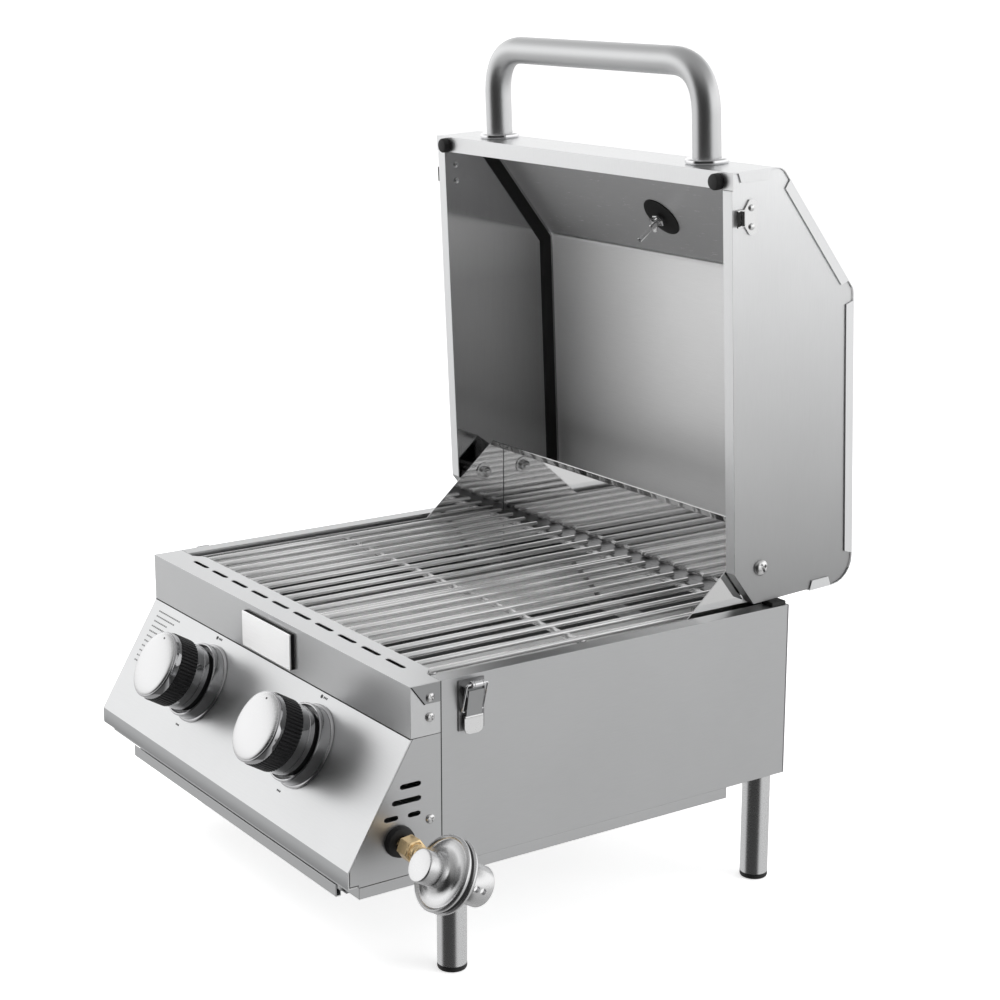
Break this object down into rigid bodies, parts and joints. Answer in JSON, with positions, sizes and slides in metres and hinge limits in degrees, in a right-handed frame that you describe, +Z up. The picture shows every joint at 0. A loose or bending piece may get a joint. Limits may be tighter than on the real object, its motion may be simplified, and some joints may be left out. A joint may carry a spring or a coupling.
{
  "type": "portable gas grill",
  "caption": "Tabletop gas grill with a box lid swung open on rear hinges, cooking grates, a sloped panel with round knobs, side latches, folding legs and a side regulator.",
  "frame": {"origin": "centre of the underside of the whole box, with the lid open, on the table top", "axes": "+Z up, +Y towards the back where the lid is hinged, +X towards the regulator side; the knobs face -Y"},
  "size_m": [0.5778, 0.5654, 0.7499],
  "materials": {
    "satin_steel": "satin brushed stainless sheet and tube",
    "polished_steel": "bright polished stainless sheet",
    "plain_steel": "plain pressed steel",
    "chrome": "bright plated steel",
    "brass": "machined brass",
    "zinc": "plated die casting",
    "black_plastic": "black moulded heat-resistant plastic",
    "dial_case": "stainless case with a pale dial",
    "pointer_paint": "matt black paint"
  },
  "bodies": {
    "firebox": {"base_pan": "plain_steel", "burner_left": "plain_steel", "burner_right": "plain_steel", "control_panel": "satin_steel", "control_side_left": "satin_steel", "control_side_right": "satin_steel", "cylinder_socket": "zinc", "firebox_floor": "plain_steel", "flame_tamer_left": "plain_steel", "flame_tamer_right": "plain_steel", "front_cap": "satin_steel", "gas_pipe": "plain_steel", "gas_valve_left": "brass", "gas_valve_right": "brass", "hinge_screw_left": "chrome", "hinge_screw_right": "chrome", "inlet_fitting": "brass", "knob_bezel_left": "chrome", "knob_bezel_right": "chrome", "latch_base_left": "plain_steel", "latch_base_right": "plain_steel", "leg_bracket_front_left": "plain_steel", "leg_bracket_front_right": "plain_steel", "leg_bracket_rear_left": "plain_steel", "leg_bracket_rear_right": "plain_steel", "liner_front": "polished_steel", "liner_left": "polished_steel", "liner_rear": "polished_steel", "liner_right": "polished_steel", "rear_crossmember": "plain_steel", "rear_panel": "satin_steel", "regulator_body": "zinc", "side_panel_left": "satin_steel", "side_panel_right": "satin_steel", "tray_rail_left": "plain_steel", "tray_rail_right": "plain_steel"},
    "lid": {"lid_wrap": "satin_steel", "lid_handle": "satin_steel", "lid_side_left": "satin_steel", "lid_side_right": "satin_steel", "keeper_left": "chrome", "keeper_right": "chrome", "thermometer": "dial_case"},
    "pointer": {"thermometer_pointer": "pointer_paint"},
    "drip_tray": {"drip_tray": "plain_steel"},
    "grate_left": {"cooking_grate_left": "chrome"},
    "grate_right": {"cooking_grate_right": "chrome"},
    "regulator_cap": {"regulator_cap": "zinc"},
    "stem_left": {"valve_stem_left": "brass"},
    "knob_left": {"knob_left": "black_plastic"},
    "lever_left": {"latch_lever_left": "satin_steel"},
    "bail_left": {"latch_bail_left": "chrome"},
    "leg_front_left": {"leg_front_left": "satin_steel"},
    "leg_rear_left": {"leg_rear_left": "satin_steel"},
    "stem_right": {"valve_stem_right": "brass"},
    "knob_right": {"knob_right": "black_plastic"},
    "lever_right": {"latch_lever_right": "satin_steel"},
    "bail_right": {"latch_bail_right": "chrome"},
    "leg_front_right": {"leg_front_right": "satin_steel"},
    "leg_rear_right": {"leg_rear_right": "satin_steel"}
  },
  "joints": [
    {"name": "lid_hinge", "type": "hinge", "parent": "firebox", "child": "lid", "pos_m": [-0.0408, 0.1739, 0.3], "axis": [1, 0, 0], "range_deg": [0, 87.45]},
    {"name": "temperature_pointer", "type": "hinge", "parent": "lid", "child": "pointer", "pos_m": [-0.0408, 0.23748, 0.58451], "axis": [0, -0.7886, -0.6149], "range_deg": [0, 240]},
    {"name": "drip_tray_slide", "type": "slide", "parent": "firebox", "child": "drip_tray", "axis": [0, -1, 0], "range_m": [0, 0.33]},
    {"name": "grate_lift_left", "type": "slide", "parent": "firebox", "child": "grate_left", "axis": [0, 0, 1], "range_m": [0, 0.06]},
    {"name": "grate_lift_right", "type": "slide", "parent": "firebox", "child": "grate_right", "axis": [0, 0, 1], "range_m": [0, 0.06]},
    {"name": "regulator_cap_turn", "type": "hinge", "parent": "firebox", "child": "regulator_cap", "pos_m": [0.2572, -0.2285, 0.1415], "axis": [0, -0.866, 0.5], "range_deg": [0, 270]},
    {"name": "knob_press_left", "type": "slide", "parent": "firebox", "child": "stem_left", "axis": [0, 0.8564, -0.5162], "range_m": [0, 0.003], "stiffness_N_per_m": 3000},
    {"name": "knob_turn_left", "type": "hinge", "parent": "stem_left", "child": "knob_left", "pos_m": [-0.1308, -0.22073, 0.17701], "axis": [0, -0.8564, 0.5162], "range_deg": [0, 180]},
    {"name": "knob_press_right", "type": "slide", "parent": "firebox", "child": "stem_right", "axis": [0, 0.8564, -0.5162], "range_m": [0, 0.003], "stiffness_N_per_m": 3000},
    {"name": "knob_turn_right", "type": "hinge", "parent": "stem_right", "child": "knob_right", "pos_m": [0.0639, -0.22073, 0.17701], "axis": [0, -0.8564, 0.5162], "range_deg": [0, 180]},
    {"name": "latch_open_left", "type": "hinge", "parent": "firebox", "child": "lever_left", "pos_m": [-0.2814, -0.1386, 0.2502], "axis": [0, 1, 0], "range_deg": [0, 120]},
    {"name": "bail_swing_left", "type": "hinge", "parent": "lever_left", "child": "bail_left", "pos_m": [-0.279, -0.1386, 0.233], "axis": [0, -1, 0], "range_deg": [0, 120]},
    {"name": "latch_open_right", "type": "hinge", "parent": "firebox", "child": "lever_right", "pos_m": [0.1998, -0.1386, 0.2502], "axis": [0, -1, 0], "range_deg": [0, 120]},
    {"name": "bail_swing_right", "type": "hinge", "parent": "lever_right", "child": "bail_right", "pos_m": [0.1974, -0.1386, 0.233], "axis": [0, 1, 0], "range_deg": [0, 120]},
    {"name": "leg_fold_front_left", "type": "hinge", "parent": "firebox", "child": "leg_front_left", "pos_m": [-0.2598, -0.1476, 0.0765], "axis": [1, 0, 0], "range_deg": [0, 90]},
    {"name": "leg_fold_rear_left", "type": "hinge", "parent": "firebox", "child": "leg_rear_left", "pos_m": [-0.2598, 0.1849, 0.1105], "axis": [0, -1, 0], "range_deg": [0, 90]},
    {"name": "leg_fold_front_right", "type": "hinge", "parent": "firebox", "child": "leg_front_right", "pos_m": [0.1782, -0.1476, 0.0765], "axis": [1, 0, 0], "range_deg": [0, 90]},
    {"name": "leg_fold_rear_right", "type": "hinge", "parent": "firebox", "child": "leg_rear_right", "pos_m": [0.1782, 0.1849, 0.1105], "axis": [0, 1, 0], "range_deg": [0, 90]}
  ],
  "couplings": [
    {"joint": "bail_swing_left", "follows": "latch_open_left", "ratio": 1},
    {"joint": "bail_swing_right", "follows": "latch_open_right", "ratio": 1}
  ]
}
